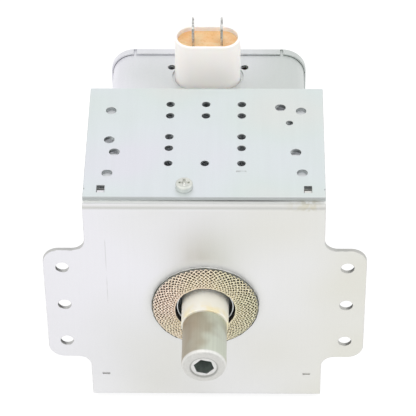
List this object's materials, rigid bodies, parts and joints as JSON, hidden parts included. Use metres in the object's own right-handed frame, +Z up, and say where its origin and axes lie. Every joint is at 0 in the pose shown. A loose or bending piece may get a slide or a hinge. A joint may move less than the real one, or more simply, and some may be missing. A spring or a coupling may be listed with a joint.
{
  "type": "microwave oven magnetron",
  "caption": "Microwave oven magnetron: folded steel yoke with mounting ears, ring magnets and finned anode, capped antenna in a woven gasket, filter box with blade terminals.",
  "frame": {"origin": "on the antenna's axis, in the front plane of the flange plate, which is the middle of the mounting holes", "axes": "-Y along the antenna, +X to the right seen from the antenna's end, +Z up to the blade terminals"},
  "size_m": [0.1086, 0.1243, 0.1064],
  "materials": {
    "yoke_zinc": "bright zinc plate, satin",
    "box_zinc": "zinc plate, satin",
    "screw_steel": "zinc plate",
    "gasket_wire": "woven wire",
    "cap_nickel": "drawn, satin",
    "seal_metal": "thin drawn sheet",
    "white_ceramic": "fired, fine matt",
    "copper": "bare copper",
    "ferrite": "ground ferrite",
    "pole_iron": "soft iron",
    "cathode_metal": "refractory metal",
    "fin_aluminium": "rolled sheet",
    "cup_plastic": "moulded",
    "cast_resin": "poured",
    "tab_tin": "tinned"
  },
  "bodies": {
    "root": {"flange_plate": "yoke_zinc", "yoke_frame": "yoke_zinc", "filter_box": "box_zinc", "filter_lid": "box_zinc", "filter_box_rivets": "box_zinc", "capacitor_flange": "box_zinc", "yoke_screw": "screw_steel", "rf_gasket": "gasket_wire", "antenna_cap": "cap_nickel", "front_seal": "seal_metal", "rear_seal": "seal_metal", "cathode_terminal_left": "seal_metal", "cathode_terminal_right": "seal_metal", "antenna_ceramic": "white_ceramic", "stem_ceramic": "white_ceramic", "exhaust_tube": "copper", "antenna_lead": "copper", "anode_cylinder": "copper", "anode_vane_1": "copper", "anode_vane_2": "copper", "anode_vane_3": "copper", "anode_vane_4": "copper", "anode_vane_5": "copper", "anode_vane_6": "copper", "anode_vane_7": "copper", "anode_vane_8": "copper", "anode_vane_9": "copper", "anode_vane_10": "copper", "front_strap_inner": "copper", "front_strap_outer": "copper", "rear_strap_inner": "copper", "rear_strap_outer": "copper", "choke_coil_left": "copper", "choke_coil_right": "copper", "front_magnet": "ferrite", "rear_magnet": "ferrite", "choke_core_left": "ferrite", "choke_core_right": "ferrite", "front_pole_piece": "pole_iron", "rear_pole_piece": "pole_iron", "filament": "cathode_metal", "front_end_hat": "cathode_metal", "rear_end_hat": "cathode_metal", "centre_lead": "cathode_metal", "side_lead": "cathode_metal", "cooling_fin_1": "fin_aluminium", "cooling_fin_2": "fin_aluminium", "cooling_fin_3": "fin_aluminium", "cooling_fin_4": "fin_aluminium", "cooling_fin_5": "fin_aluminium", "cooling_fin_6": "fin_aluminium", "capacitor_case": "cup_plastic", "capacitor_resin": "cast_resin", "terminal_tab_left": "tab_tin", "terminal_tab_right": "tab_tin"}
  },
  "joints": []
}
